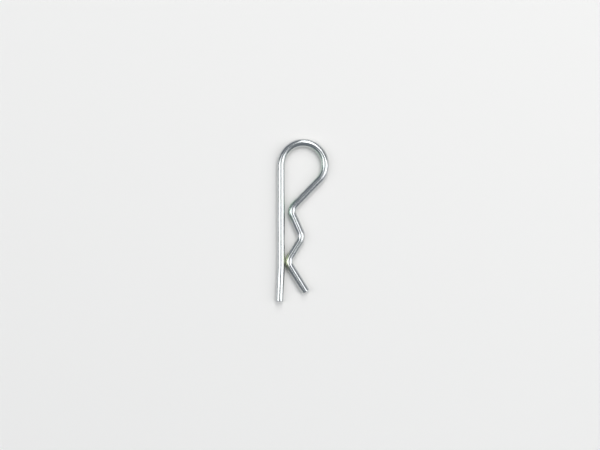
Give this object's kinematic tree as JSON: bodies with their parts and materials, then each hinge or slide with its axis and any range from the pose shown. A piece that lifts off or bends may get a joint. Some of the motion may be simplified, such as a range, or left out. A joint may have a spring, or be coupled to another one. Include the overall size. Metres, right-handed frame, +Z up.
{
  "type": "hitch r clip pin",
  "caption": "R-shaped retaining clip of round spring wire: the straight leg goes through a shaft's cross hole, the waved leg snaps over the shaft, and the round eye is there to pull it out.",
  "frame": {"origin": "where the axis of the locked shaft, which also crosses the straight leg's axis, meets the surface that the clip lies on", "axes": "+Y along the straight leg from its tip to the eye, +X from the straight leg to the waved leg, +Z up out of the clip's plane along the shaft's axis"},
  "size_m": [0.0216, 0.0657, 0.0032],
  "materials": {
    "zinc_plated_spring_steel": "bright zinc plating over drawn spring wire"
  },
  "bodies": {
    "root": {"r_clip_wire": "zinc_plated_spring_steel"}
  },
  "joints": []
}
